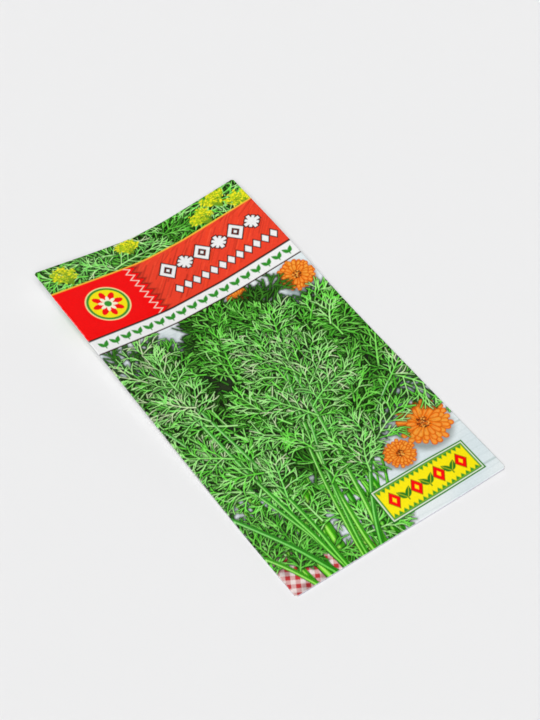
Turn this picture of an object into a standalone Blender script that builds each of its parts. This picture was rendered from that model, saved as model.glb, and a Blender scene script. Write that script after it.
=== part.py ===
"""A sealed paper seed packet, lying on its back, with the seeds it holds.

The packet is one sheet of coated paper: a front panel, a back panel folded round from each
long side, the two lapped into a glued seam, and a flap at each end folded under and glued.
Units are metres. The origin is on the table under the middle of the packet, +Y runs from
its bottom end to its top end, +X to the right as the front is read, and +Z out of the front.
"""
import math
import random

import bmesh
import bpy
from mathutils import Euler, Vector

# Sheet and envelope
HALF_WIDTH = 0.040         # middle of the front to a long fold
HALF_LENGTH = 0.075        # middle of the front to an end fold
PAPER = 0.00012            # thickness of the coated paper
LAYER_STEP = 0.00024       # one glued layer lies this far above the next
FOLD_REACH = 0.0003        # how far a fold stands out from the panels that it joins
FOLD_SIDES = 4             # flat facets round each fold
CORNER_CUT = 0.0008        # notch in the sheet between a side panel and a flap
FRONT_LAYERS = 3           # layers that lie under the front panel where seam and flap cross

# Seam and flaps on the back
SEAM_X = 0.018             # middle of the lapped seam
SEAM_LAP = 0.010           # how far the two back panels lap
LAP_RAMP = 0.0022          # width in which a panel comes down off the layer under it
LAP_CLEAR = 0.0002         # a panel starts down this far past the edge that it covers
FLAP_DEPTH = 0.012         # end fold to the flap's cut edge
FLAP_END_HALF = 0.035      # half the flap's width at its cut edge

# Curl of the whole packet, up from the table
LEFT_CURL = 0.0072         # rise of the top left corner
LEFT_CURL_FROM = -0.052    # distance along the packet where the left side starts to rise
RIGHT_LIFT = 0.0007        # rise of the right side near the bottom end
RIGHT_CURL = 0.0027        # further rise of the right side near the top end
RIGHT_CURL_FROM = -0.005
RIGHT_CURL_TO = 0.058
SIDE_SOFTNESS = 0.18       # share of the way out over which a side starts to bend up
EDGE_SOFTNESS = 0.05       # the same along the left edge
FLAT_LEFT = (-0.030, 0.001)   # left limit of the flat strip, at the bottom and the top end
FLAT_RIGHT = (0.016, 0.007)   # right limit of it

# Room for the seeds
BULGE = 0.0015             # how far the front stands up over the seeds
BULGE_HALF_WIDTH = 0.018   # full height out to here, then down to nothing at the folds
BULGE_Y = (-0.058, -0.008)
BULGE_END_Y = (-0.073, 0.036)

# Glue
GLUE = 0.00004             # thickness of a line of glue

# Seeds
SEED_LENGTH = 0.0042
SEED_WIDTH = 0.0022
SEED_THICKNESS = 0.0008
SEED_SIDES = 8             # points round a seed's thin margin
SEED_RIDGE = (-0.55, 0.0, 0.55)  # points of the rib along its back, as shares of half its length
SEED_BELLY = (-0.5, 0.5)         # the same on its flatter underside
SEED_SPACING = 0.0042
SEED_SHAKE = 0.22          # how far a seed strays from its place, as a share of the spacing
SEED_STAGGER = 0.25        # sideways step of every other row, as a share of the spacing
SEED_TILT = math.radians(5)
SEED_LEVEL = 0.00126       # mid-height of the layer of seeds
SEED_BED_Y = -0.032        # middle of the bed
SEED_BED_HALF = (0.0175, 0.0255)  # half the bed's width and length, between outer seeds' middles
SEED_CORE = 0.0003         # thickness of the packed middle that the seeds stand out of
SEED_CORE_SIDES = 28
SEED_RANDOM = 14

# Lines of the grid that all the panels share, so that the layers stay parallel
SIDE_LINE = HALF_WIDTH - FOLD_REACH
END_LINE = HALF_LENGTH - FOLD_REACH
LAP_LEFT = SEAM_X - SEAM_LAP / 2
LAP_RIGHT = SEAM_X + SEAM_LAP / 2
SEAM_GLUE_X = (SEAM_X - 0.0015, SEAM_X + 0.0015)
FLAP_EDGE = HALF_LENGTH - FLAP_DEPTH
FLAP_GLUE_Y = (0.067, 0.071)
COLUMNS = sorted(
    [-SIDE_LINE, -SIDE_LINE + CORNER_CUT]
    + [-0.034 + 0.006 * step for step in range(8)]
    + [LAP_LEFT, *SEAM_GLUE_X, LAP_RIGHT, LAP_RIGHT + LAP_CLEAR]
    + [LAP_RIGHT + LAP_CLEAR + LAP_RAMP, 0.030, 0.034, SIDE_LINE - CORNER_CUT, SIDE_LINE]
)
UPPER_ROWS = (
    [0.004 + 0.008 * step for step in range(7)]
    + [FLAP_EDGE - LAP_CLEAR - LAP_RAMP, FLAP_EDGE - LAP_CLEAR]
    + [*FLAP_GLUE_Y, END_LINE - CORNER_CUT, END_LINE]
)
ROWS = [-y for y in reversed(UPPER_ROWS)] + UPPER_ROWS


def clear_scene():
    for item in list(bpy.data.objects):
        bpy.data.objects.remove(item, do_unlink=True)


def material(name, colour, roughness):
    """A Principled material of one plain colour."""
    made = bpy.data.materials.new(name)
    made.use_nodes = True
    shader = made.node_tree.nodes["Principled BSDF"]
    shader.inputs["Base Color"].default_value = (*colour, 1.0)
    shader.inputs["Roughness"].default_value = roughness
    shader.inputs["Metallic"].default_value = 0.0
    return made


def ease(share):
    """Goes smoothly from 0 to 1 as the share does."""
    share = min(max(share, 0.0), 1.0)
    return share * share * (3.0 - 2.0 * share)


def blend(ends, share):
    return ends[0] + (ends[1] - ends[0]) * share


def bend_up(distance, reach, rise, softness):
    """Height at a distance past the line where a side leaves the table."""
    if distance <= 0.0:
        return 0.0
    share = distance / reach
    return rise * (math.hypot(share, softness) - softness) / (math.hypot(1.0, softness) - softness)


def table_height(x, y):
    """How far the packet's underside stands off the table."""
    along = (y + HALF_LENGTH) / (2.0 * HALF_LENGTH)
    left_from = blend(FLAT_LEFT, along)
    right_from = blend(FLAT_RIGHT, along)
    left_rise = bend_up(y - LEFT_CURL_FROM, HALF_LENGTH - LEFT_CURL_FROM, LEFT_CURL, EDGE_SOFTNESS)
    right_share = (y - RIGHT_CURL_FROM) / (RIGHT_CURL_TO - RIGHT_CURL_FROM)
    right_rise = RIGHT_LIFT + RIGHT_CURL * ease(right_share)
    left = bend_up(left_from - x, left_from + HALF_WIDTH, left_rise, SIDE_SOFTNESS)
    right = bend_up(x - right_from, HALF_WIDTH - right_from, right_rise, SIDE_SOFTNESS)
    return left + right


def layer_height(layer):
    """Mid-height of a layer of paper, counted up from the lowest."""
    return layer * LAYER_STEP + PAPER / 2.0


def layers_under_panels(y):
    """1 where the back panels lie on a flap, 0 between the flaps."""
    return ease((abs(y) - (FLAP_EDGE - LAP_CLEAR - LAP_RAMP)) / LAP_RAMP)


def outer_back_height(x, y):
    return layer_height(layers_under_panels(y))


def inner_back_height(x, y):
    on_lap = 1.0 - ease((x - LAP_RIGHT - LAP_CLEAR) / LAP_RAMP)
    return layer_height(layers_under_panels(y) + on_lap)


def flap_height(x, y):
    return layer_height(0)


def front_height(x, y):
    """Mid-height of the front panel: over every layer, and up over the seeds."""
    across = ease((SIDE_LINE - abs(x)) / (SIDE_LINE - BULGE_HALF_WIDTH))
    low = ease((y - BULGE_END_Y[0]) / (BULGE_Y[0] - BULGE_END_Y[0]))
    high = ease((BULGE_END_Y[1] - y) / (BULGE_END_Y[1] - BULGE_Y[1]))
    return layer_height(FRONT_LAYERS) + BULGE * across * low * high


def sheet_point(sheet, x, y, height):
    """A vertex of the sheet, lifted by the packet's curl."""
    return sheet.verts.new((x, y, height + table_height(x, y)))


def panel(sheet, columns, rows, height):
    """Lines of vertices, one line for each column."""
    return [[sheet_point(sheet, x, y, height(x, y)) for y in rows] for x in columns]


def fill(sheet, lines):
    """Faces between each line of vertices and the next."""
    for line, after in zip(lines, lines[1:]):
        for corners in zip(line, line[1:], after[1:], after):
            sheet.faces.new(corners)


def side_fold(sheet, side, rows, back_height):
    """Lines of vertices round a long fold, from the front to the back. Side is -1 or 1."""
    lines = []
    for step in range(1, FOLD_SIDES):
        angle = math.pi * step / FOLD_SIDES
        line = []
        for y in rows:
            front = front_height(side * SIDE_LINE, y)
            back = back_height(side * SIDE_LINE, y)
            height = (front + back) / 2.0 + (front - back) / 2.0 * math.cos(angle)
            x = side * (SIDE_LINE + FOLD_REACH * math.sin(angle))
            line.append(sheet_point(sheet, x, y, height))
        lines.append(line)
    return lines


def end_flap(sheet, end, columns):
    """Lines of vertices round an end fold and along its flap. End is -1 or 1."""
    lines = []
    front = front_height(0.0, end * END_LINE)
    back = flap_height(0.0, end * END_LINE)
    for step in range(1, FOLD_SIDES):
        angle = math.pi * step / FOLD_SIDES
        height = (front + back) / 2.0 + (front - back) / 2.0 * math.cos(angle)
        y = end * (END_LINE + FOLD_REACH * math.sin(angle))
        lines.append([sheet_point(sheet, x, y, height) for x in columns])
    for row in (END_LINE, *reversed(FLAP_GLUE_Y), FLAP_EDGE):
        half = blend((columns[-1], FLAP_END_HALF), (END_LINE - row) / (END_LINE - FLAP_EDGE))
        line = []
        for x in columns:
            line.append(sheet_point(sheet, min(max(x, -half), half), end * row, back))
        lines.append(line)
    return lines


def finish_object(name, mesh_data, surface):
    """A named object from bmesh data, with its material."""
    mesh = bpy.data.meshes.new(name)
    mesh_data.to_mesh(mesh)
    mesh_data.free()
    made = bpy.data.objects.new(name, mesh)
    made.data.materials.append(surface)
    bpy.context.scene.collection.objects.link(made)
    return made


def give_thickness(thing, thickness):
    """Turns an open sheet into a thin closed body, half of it on each side."""
    solid = thing.modifiers.new("thickness", 'SOLIDIFY')
    solid.thickness = thickness
    solid.offset = 0.0
    solid.use_even_offset = True
    triangles = thing.modifiers.new("triangles", 'TRIANGULATE')
    triangles.quad_method = 'FIXED'


def make_envelope():
    """The folded paper: front, long folds, lapped back panels and both flaps."""
    sheet = bmesh.new()
    front = panel(sheet, COLUMNS, ROWS, front_height)
    fill(sheet, front)

    inner_rows = ROWS[1:-1]
    left_edge = front[0][1:-1]
    right_edge = front[-1][1:-1]
    outer_columns = [x for x in COLUMNS if x <= LAP_RIGHT]
    inner_columns = [x for x in reversed(COLUMNS) if x >= LAP_LEFT]
    outer_back = panel(sheet, outer_columns, inner_rows, outer_back_height)
    inner_back = panel(sheet, inner_columns, inner_rows, inner_back_height)
    left_fold = side_fold(sheet, -1, inner_rows, outer_back_height)
    right_fold = side_fold(sheet, 1, inner_rows, inner_back_height)
    fill(sheet, [left_edge] + left_fold + outer_back)
    fill(sheet, [right_edge] + right_fold + inner_back)

    flap_columns = COLUMNS[1:-1]
    bottom_edge = [column[0] for column in front[1:-1]]
    top_edge = [column[-1] for column in front[1:-1]]
    fill(sheet, [bottom_edge] + end_flap(sheet, -1, flap_columns))
    fill(sheet, [top_edge] + end_flap(sheet, 1, flap_columns))

    bmesh.ops.recalc_face_normals(sheet, faces=sheet.faces)
    envelope = finish_object("paper_envelope", sheet, material("coated paper", (0.2, 0.4, 0.13), 0.3))
    give_thickness(envelope, PAPER)


def make_glue(name, columns, rows, surface):
    """A line of glue in the middle of the gap over the lowest layer of paper."""
    film = bmesh.new()
    height = (layer_height(0) + layer_height(1)) / 2.0
    fill(film, panel(film, columns, rows, lambda x, y: height))
    bmesh.ops.recalc_face_normals(film, faces=film.faces)
    give_thickness(finish_object(name, film, surface), GLUE)


def make_glue_lines():
    surface = material("dry paper glue", (0.75, 0.7, 0.55), 0.4)
    between_flaps = [y for y in ROWS if abs(y) < FLAP_EDGE - LAP_CLEAR - LAP_RAMP / 2]
    make_glue("seam_glue", SEAM_GLUE_X, between_flaps, surface)
    across_flap = [x for x in COLUMNS if abs(x) <= FLAP_END_HALF]
    make_glue("bottom_flap_glue", across_flap, [-y for y in reversed(FLAP_GLUE_Y)], surface)
    make_glue("top_flap_glue", across_flap, FLAP_GLUE_Y, surface)


def seed_points():
    """Points of one flat oval seed: its thin margin, ribbed back and flat belly."""
    half_length = SEED_LENGTH / 2.0
    corner_reach = 1.0 / math.cos(math.pi / SEED_SIDES)
    points = []
    for step in range(SEED_SIDES):
        angle = 2.0 * math.pi * (step + 0.5) / SEED_SIDES
        x = half_length * corner_reach * math.cos(angle)
        y = SEED_WIDTH / 2.0 * corner_reach * math.sin(angle)
        points.append(Vector((x, y, 0.0)))
    points += [Vector((share * half_length, 0.0, SEED_THICKNESS / 2.0)) for share in SEED_RIDGE]
    points += [Vector((share * half_length, 0.0, -SEED_THICKNESS / 2.0)) for share in SEED_BELLY]
    return points


def seed_places(source):
    """Place, turn and side up of each seed, on a shaken grid inside the oval bed."""
    places = []
    rows = int(2.0 * SEED_BED_HALF[1] / SEED_SPACING) + 1
    columns = int(2.0 * SEED_BED_HALF[0] / SEED_SPACING) + 1
    for row in range(rows):
        stagger = SEED_STAGGER * (-1) ** row
        for column in range(columns):
            x = column - (columns - 1) / 2.0 + stagger + source.uniform(-SEED_SHAKE, SEED_SHAKE)
            y = row - (rows - 1) / 2.0 + source.uniform(-SEED_SHAKE, SEED_SHAKE)
            turn = source.uniform(0.0, 2.0 * math.pi)
            tilt = source.uniform(-SEED_TILT, SEED_TILT)
            over = source.choice((0.0, math.pi))
            x *= SEED_SPACING
            y *= SEED_SPACING
            if math.hypot(x / SEED_BED_HALF[0], y / SEED_BED_HALF[1]) < 1.0:
                places.append((x, y + SEED_BED_Y, turn, tilt, over))
    return places


def make_seed(group, points, place):
    """One seed as a closed hull, in the group that is joined afterwards."""
    x, y, turn, tilt, over = place
    rotation = Euler((over, tilt, turn), 'XYZ').to_matrix()
    hull = bmesh.new()
    for point in points:
        hull.verts.new(rotation @ point + Vector((x, y, SEED_LEVEL)))
    bmesh.ops.convex_hull(hull, input=hull.verts)
    mesh = bpy.data.meshes.new("seed")
    hull.to_mesh(mesh)
    hull.free()
    made = bpy.data.objects.new("seed", mesh)
    group.objects.link(made)


def make_seed_core():
    """The thin packed middle of the bed, which every seed is sunk into."""
    core = bmesh.new()
    bmesh.ops.create_cone(
        core, cap_ends=True, segments=SEED_CORE_SIDES, radius1=1.0, radius2=1.0, depth=SEED_CORE
    )
    for vert in core.verts:
        vert.co.x *= SEED_BED_HALF[0]
        vert.co.y = vert.co.y * SEED_BED_HALF[1] + SEED_BED_Y
        vert.co.z += SEED_LEVEL
    return finish_object("dill_seeds", core, material("dry seed coat", (0.22, 0.13, 0.06), 0.7))


def make_seeds():
    """A layer of loose seeds, joined into one body and laid along the packet's curl."""
    source = random.Random(SEED_RANDOM)
    group = bpy.data.collections.new("seed group")
    points = seed_points()
    for place in seed_places(source):
        make_seed(group, points, place)
    bed = make_seed_core()
    union = bed.modifiers.new("union", 'BOOLEAN')
    union.operation = 'UNION'
    union.operand_type = 'COLLECTION'
    union.collection = group
    union.solver = 'MANIFOLD'  # the exact solver leaves seeds that touch along an edge
    evaluated = bed.evaluated_get(bpy.context.evaluated_depsgraph_get())
    joined = bpy.data.meshes.new_from_object(evaluated)
    bed.modifiers.clear()
    bed.data = joined
    for item in list(group.objects):
        bpy.data.objects.remove(item, do_unlink=True)
    bpy.data.collections.remove(group)
    for vert in joined.vertices:
        vert.co.z += table_height(vert.co.x, vert.co.y)


def main():
    clear_scene()
    make_envelope()
    make_glue_lines()
    make_seeds()


main()
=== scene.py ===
"""Looks of a sealed paper seed packet that lies on its back on a pale table.

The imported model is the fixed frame. The paper is folded here once more as one thin sheet, fine
enough to carry its print, which is drawn stroke by stroke: herb fronds, blossoms and a band of
traditional ornament. Geometry is in metres in the frame's own axes, and the print in millimetres
from the top left corner of the face it lies on.
"""
import math
import random

import bmesh
import bpy
import numpy as np
from mathutils import Euler, Matrix, Vector


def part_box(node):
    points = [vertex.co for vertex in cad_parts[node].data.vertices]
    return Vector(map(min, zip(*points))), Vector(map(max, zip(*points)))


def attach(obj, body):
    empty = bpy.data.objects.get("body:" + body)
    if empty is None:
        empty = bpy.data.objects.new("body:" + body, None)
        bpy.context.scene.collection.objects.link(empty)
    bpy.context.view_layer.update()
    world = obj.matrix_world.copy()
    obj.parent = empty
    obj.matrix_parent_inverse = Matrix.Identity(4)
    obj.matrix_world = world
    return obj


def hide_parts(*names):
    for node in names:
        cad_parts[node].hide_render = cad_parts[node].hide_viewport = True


bl_info = {
    "name": "Seed Packet Looks",
    "version": (1, 0, 0),
    "blender": (4, 5, 0),
    "location": "View3D > Sidebar > Seed Packet",
    "description": "Prints, folds and lights a paper seed packet round its packed frame",
    "category": "Object",
}

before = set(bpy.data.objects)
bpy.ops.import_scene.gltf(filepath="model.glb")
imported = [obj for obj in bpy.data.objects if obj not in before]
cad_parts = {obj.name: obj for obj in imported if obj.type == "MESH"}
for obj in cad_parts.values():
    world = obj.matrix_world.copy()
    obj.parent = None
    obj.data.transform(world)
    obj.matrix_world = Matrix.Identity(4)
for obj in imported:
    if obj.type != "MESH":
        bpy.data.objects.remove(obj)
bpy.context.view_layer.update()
MM = 0.001

# Sheet and envelope, from the frame's box and the thickness of the paper
PAPER = 0.00012            # thickness of the coated paper
ENVELOPE_LOW, ENVELOPE_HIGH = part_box("paper_envelope")
HALF_WIDTH = (ENVELOPE_HIGH.x - ENVELOPE_LOW.x - PAPER) / 2.0
HALF_LENGTH = (ENVELOPE_HIGH.y - ENVELOPE_LOW.y - PAPER) / 2.0
LAYER_STEP = 0.00024       # one glued layer lies this far above the next
FOLD_REACH = 0.0003        # how far a fold stands out from the panels that it joins
FOLD_SIDES = 8             # steps round each fold
FOLD_ARC = 0.0012          # length of paper round a fold
CORNER_CUT = 0.0003        # notch in the sheet between a side panel and a flap
FRONT_LAYERS = 3           # layers that lie under the front panel
FOLD_PAINTED_SHADE = "#bcbac6"      # painted shade: grey laid on the paper round the lower half of each fold, where it turns away from the lights
SIDE_LINE = HALF_WIDTH - FOLD_REACH
END_LINE = HALF_LENGTH - FOLD_REACH

# Seam and flaps on the back
SEAM_X = 0.018             # middle of the lapped seam
SEAM_LAP = 0.010           # how far the two back panels lap
LAP_LEFT = SEAM_X - SEAM_LAP / 2
LAP_RIGHT = SEAM_X + SEAM_LAP / 2
LAP_RAMP = 0.0022          # width in which a panel comes down off the layer under it
LAP_CLEAR = 0.0002         # a panel starts down this far past the edge that it covers
FLAP_DEPTH = 0.012         # end fold to the flap's cut edge
FLAP_END_HALF = 0.035      # half the flap's width at its cut edge
FLAP_EDGE = HALF_LENGTH - FLAP_DEPTH

# Curl of the whole packet, up from the table
LEFT_CURL = 0.0072         # rise of the top left corner
LEFT_CURL_FROM = -0.052    # distance along the packet where the left side starts to rise
RIGHT_LIFT = 0.0007        # rise of the right side near the bottom end
RIGHT_CURL = 0.0027        # further rise of the right side near the top end
RIGHT_CURL_FROM = -0.005
RIGHT_CURL_TO = 0.058
SIDE_SOFTNESS = 0.18       # share of the way out over which a side starts to bend up
EDGE_SOFTNESS = 0.05       # the same along the left edge
FLAT_LEFT = (-0.030, 0.001)   # left limit of the flat strip, at the bottom and the top end
FLAT_RIGHT = (0.016, 0.007)

# Room for the seeds
BULGE = 0.0015             # how far the front stands up over the seeds
BULGE_HALF_WIDTH = 0.018   # full height out to here, then down to nothing at the folds
BULGE_Y = (-0.058, -0.008)
BULGE_END_Y = (-0.073, 0.036)

# Cells of the sheet's grid
INSIDE_FRONT_CELL = 0.002  # the unprinted inner side needs only the shape
INSIDE_BACK_CELL = 0.001

# Seeds, laid as the frame has them
SEED_LENGTH = 0.0042
SEED_WIDTH = 0.0022
SEED_THICKNESS = 0.0008
SEED_SPACING = 0.0042
SEED_SHAKE = 0.22
SEED_STAGGER = 0.25
SEED_TILT = math.radians(5)
SEED_LEVEL = 0.00126
SEED_BED_Y = -0.032
SEED_BED_HALF = (0.0175, 0.0255)
SEED_RANDOM = 14
SEED_RIBS = 5              # ribs over the back of a seed
SEED_RINGS = 14
SEED_ROUND = 20

# Layout of the front's print, in millimetres from its top left corner
FACE_WIDTH = 80.0
FACE_LENGTH = 150.0
BAND_TOP = 11.0            # band of ornament
BAND_FOOT = 34.0
STRIPE_TOP = 34.6          # pale stripe with its row of leaves
STRIPE_FOOT = 40.4
PICTURE_TOP = 40.9
PLATE_MIDDLE = (57.0, 139.6)   # small framed panel near the bottom end
PLATE_HALF = (18.0, 6.4)
PLATE_FRAME = 1.4
PLATE_PITCH = 4.3          # from one figure on the panel to the next
RED_EDGE = 28.6            # right edge of the red field, between its teeth
RED_TEETH = 8
RED_TOOTH = 2.4            # how far a tooth stands out
ROSETTE_MIDDLE = (14.2, 22.5)  # round rosette on the red field
ROSETTE_RADIUS = 7.6
SOFT_EDGE = 0.25           # width over which an inked edge fades, one cell of the grid
TOOTH_SLANT = 0.5          # distance from a tooth's slanting side, for each millimetre along its row
BRUSH_STROKES = 300        # brush marks in the orange field
DIAMOND_ROW = (38.4, 28.6, 3.5, 12)   # first middle, pitch and count of the small diamonds
FIGURE_ROW = (39.6, 19.6, 6.9, 6)     # the same for the large diamonds and stars above them
# Middle and radius of each orange blossom, and of each yellow seed head
BLOSSOMS = (((69.5, 121.0), 9.4), ((56.0, 126.8), 5.4), ((73.0, 47.5), 6.6), ((52.5, 43.5), 4.6))
SEED_HEADS = (
    ((8.0, 5.0), 4.4), ((34.0, 2.6), 3.4), ((61.5, 6.6), 4.2), ((69.5, 2.4), 4.6), ((76.5, 7.6), 4.0),
)
BUNCH_MIDDLE = (35.0, 84.0)
BUNCH_HALF = (52.0, 40.0)  # half the width and height of the bunch of fronds
PRINT_RANDOM = 8

# Pictured fronds, stems and blossoms, in millimetres
THREAD_SHADOWS = ((1.6, 0.16), (0.5, 0.78))   # how much wider than its thread, and how dark
THREAD_TIP = 0.9           # width of a stroke's end, as a share of its start
STEM_LAYERS = ((0.0, 1.3), (0.0, 1.0), (0.24, 0.42), (-0.2, 0.26))   # shift and width, in stem widths
FROND_LAYERS = (           # tone, share of the fronds, thread, and bare where the patches are below
    ("shade", 0.24, 0.34, -0.9), ("middle", 0.26, 0.32, -0.35), ("bright", 0.24, 0.29, -0.1),
)
RIM_PART = 0.12            # share of the fronds that stand round the rim of the bunch
RIM_THREAD = 0.36
LEADER_PART = 0.27         # share of the fronds that hang on the long pale stems
LEADER_THREAD = 0.27
LEADERS = 10
LEADER_STEPS = 36
STEMS = 12
LOW_FRONDS = 34            # small fronds over the stems
LOW_THREAD = 0.28
TOP_LAYERS = (("shade", 24, 0.34), ("middle", 28, 0.31), ("bright", 13, 0.30), ("light", 4, 0.28))
UMBEL_RAYS = 26
UMBEL_SPOTS = 12           # tiny blossoms at the end of a ray
BLOSSOM_RINGS = ((1.0, 21, 0.0), (0.86, 19, 0.3), (0.62, 16, 0.0))   # reach, petals and twist
BOARD = 18.0               # width of a board of the pale ground
GRAIN = 2.7                # from one line of its grain to the next
GRAIN_SLOPE = 0.04
CLOTH_BOX = (0.0, 104.0, 60.0, 150.0)   # left, top, right and bottom of what the cloth may reach
CLOTH_LEAN = (0.87, 0.5)   # cosine and sine of its turn
CLOTH_EDGE = 113.0
CLOTH_CHECK = 1.5          # width of a stripe

# Layout of the back's print, in millimetres from the same corner
BACK_BANDS = ((13.0, 25.0, "green"), (25.0, 26.6, "yellow"))
BACK_PANEL = (38.0, 66.0)  # middle of the ruled panel
BACK_PANEL_HALF = (32.0, 34.0)
BACK_RULES = (38.0, 7.0, 9)   # first, pitch and count of the panel's rules
BACK_ROUNDELS = (14.0, 114.0, 16.0)   # first middle and pitch of the roundels
ROUNDEL_REACH = (4.8, 4.1)    # outer and inner edge of a roundel's ring
BACK_STRIP = (129.5, 136.0)
STRIP_PITCH = 4.4          # from one diamond of the strip to the next

# Flat map of the sheet, for baking
MAP_SPAN = 0.178           # length of paper that the whole map holds
MAP_SHIFT = 0.10           # the printed side stands this far to the right
INNER_SCALE = 0.055        # the plain inner side is kept small, in a free corner
INNER_CORNER = (0.04, 0.965)

# Table, a wide board that turns up far out
TABLE_REACH = 4.0
COVE_REACH = 1.6
COVE_HEIGHT = 1.6
COVE_STEPS = 12
TABLE_SECTORS = 72

# Soft lights: direction from the packet, and spread in degrees
LIGHTS = {
    "key light": ((-0.35, -0.52, 0.85), 36.0),
    "top light": ((0.0, 0.0, 1.0), 60.0),
    "side light": ((-0.70, 0.20, 0.70), 40.0),
    "gleam light": ((0.615, 0.487, 0.619), 12.0),
}
WORLD_COLOUR = "#fafaff"
WORLD_STRENGTH = 0.1

# Refraction of the paper's varnish and of the dried glue
PAPER_IOR = 1.45
GLUE_IOR = 1.47

# Camera, found by fitting the model's edges to the view
CAMERA_AZIMUTH = math.radians(33.813)
CAMERA_ELEVATION = math.radians(51.157)
CAMERA_ROLL = math.radians(1.63)
CAMERA_DISTANCE = 0.6524
CAMERA_TARGET = Vector((0.005911, 0.003828, 0.0))
CAMERA_LENS = 100.25       # millimetres, on a sensor 36 mm along the picture's long side


def linear(colour):
    """Linear red, green and blue of an sRGB hex colour."""
    parts = [int(colour[place:place + 2], 16) / 255.0 for place in (1, 3, 5)]
    return [part / 12.92 if part <= 0.04045 else ((part + 0.055) / 1.055) ** 2.4 for part in parts]


def opaque(colour):
    """The same with the alpha that a node's colour needs."""
    return (*linear(colour), 1.0)


def ink(colour):
    """The same as an array, to be laid on a print."""
    return np.array(linear(colour))


def ink_set(colours):
    """Inks from sRGB hex colours with spaces between them."""
    return [ink(colour) for colour in colours.split()]


def add_object(name, data):
    """A new object in the scene."""
    made = bpy.data.objects.new(name, data)
    bpy.context.scene.collection.objects.link(made)
    return made


# Shape of the folded packet

def ease(share):
    """Goes smoothly from 0 to 1 as the share does."""
    share = np.clip(share, 0.0, 1.0)
    return share * share * (3.0 - 2.0 * share)


def blend(ends, share):
    """What lies at a share of the way from one end to the other."""
    return ends[0] + (ends[1] - ends[0]) * share


def bend_up(distance, reach, rise, softness):
    """Height at a distance past the line where a side leaves the table."""
    share = np.maximum(distance, 0.0) / reach
    return rise * (np.hypot(share, softness) - softness) / (math.hypot(1.0, softness) - softness)


def table_height(x, y):
    """How far the packet's underside stands off the table."""
    along = (y + HALF_LENGTH) / (2.0 * HALF_LENGTH)
    left_from = blend(FLAT_LEFT, along)
    right_from = blend(FLAT_RIGHT, along)
    left_rise = bend_up(y - LEFT_CURL_FROM, HALF_LENGTH - LEFT_CURL_FROM, LEFT_CURL, EDGE_SOFTNESS)
    right_share = (y - RIGHT_CURL_FROM) / (RIGHT_CURL_TO - RIGHT_CURL_FROM)
    right_rise = RIGHT_LIFT + RIGHT_CURL * ease(right_share)
    left = bend_up(left_from - x, left_from + HALF_WIDTH, left_rise, SIDE_SOFTNESS)
    right = bend_up(x - right_from, HALF_WIDTH - right_from, right_rise, SIDE_SOFTNESS)
    return left + right


def layer_height(layer):
    """Mid-height of a layer of paper, counted up from the lowest."""
    return layer * LAYER_STEP + PAPER / 2.0


def layers_under_panels(y):
    """1 where the back panels lie on a flap, 0 between the flaps."""
    return ease((np.abs(y) - (FLAP_EDGE - LAP_CLEAR - LAP_RAMP)) / LAP_RAMP)


def outer_back_height(x, y):
    """Mid-height of the left back panel, which lies under the other one."""
    return layer_height(layers_under_panels(y))


def inner_back_height(x, y):
    """Mid-height of the right back panel, which steps up on to the other one."""
    on_lap = 1.0 - ease((x - LAP_RIGHT - LAP_CLEAR) / LAP_RAMP)
    return layer_height(layers_under_panels(y) + on_lap)


def front_height(x, y):
    """Mid-height of the front panel: over every layer, and up over the seeds."""
    across = ease((SIDE_LINE - np.abs(x)) / (SIDE_LINE - BULGE_HALF_WIDTH))
    low = ease((y - BULGE_END_Y[0]) / (BULGE_Y[0] - BULGE_END_Y[0]))
    high = ease((BULGE_END_Y[1] - y) / (BULGE_END_Y[1] - BULGE_Y[1]))
    return layer_height(FRONT_LAYERS) + BULGE * across * low * high


# Print

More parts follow.
